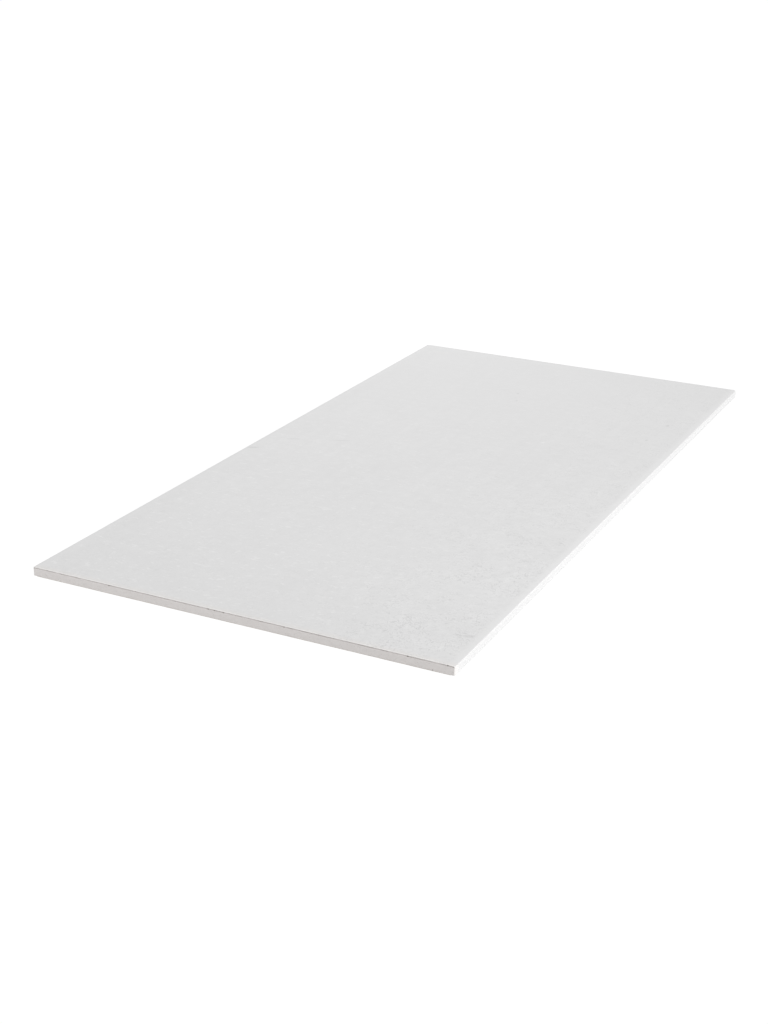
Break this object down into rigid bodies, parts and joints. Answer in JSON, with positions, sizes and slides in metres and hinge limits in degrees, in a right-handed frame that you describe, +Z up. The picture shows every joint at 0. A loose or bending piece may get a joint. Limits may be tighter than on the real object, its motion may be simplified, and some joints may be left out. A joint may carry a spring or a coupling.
{
  "type": "drywall sheet",
  "caption": "Flat drywall sheet: a foamed gypsum core between a face paper that wraps the long edges and a back paper, with the ends cut square.",
  "frame": {"origin": "centre of the sheet's underside, on the back paper", "axes": "+X across the sheet's width, +Y along its length, +Z up through its thickness to the face"},
  "size_m": [0.6, 1.2, 0.0125],
  "materials": {
    "gypsum_core": "dry, matt foamed gypsum with small air voids, cut or snapped at the ends",
    "face_paper": "matt pale grey-white liner paper with faint fibre and fine dimples",
    "back_paper": "matt grey-brown recycled liner paper with visible fibre"
  },
  "bodies": {
    "root": {"gypsum_core": "gypsum_core", "face_paper": "face_paper", "back_paper": "back_paper"}
  },
  "joints": []
}
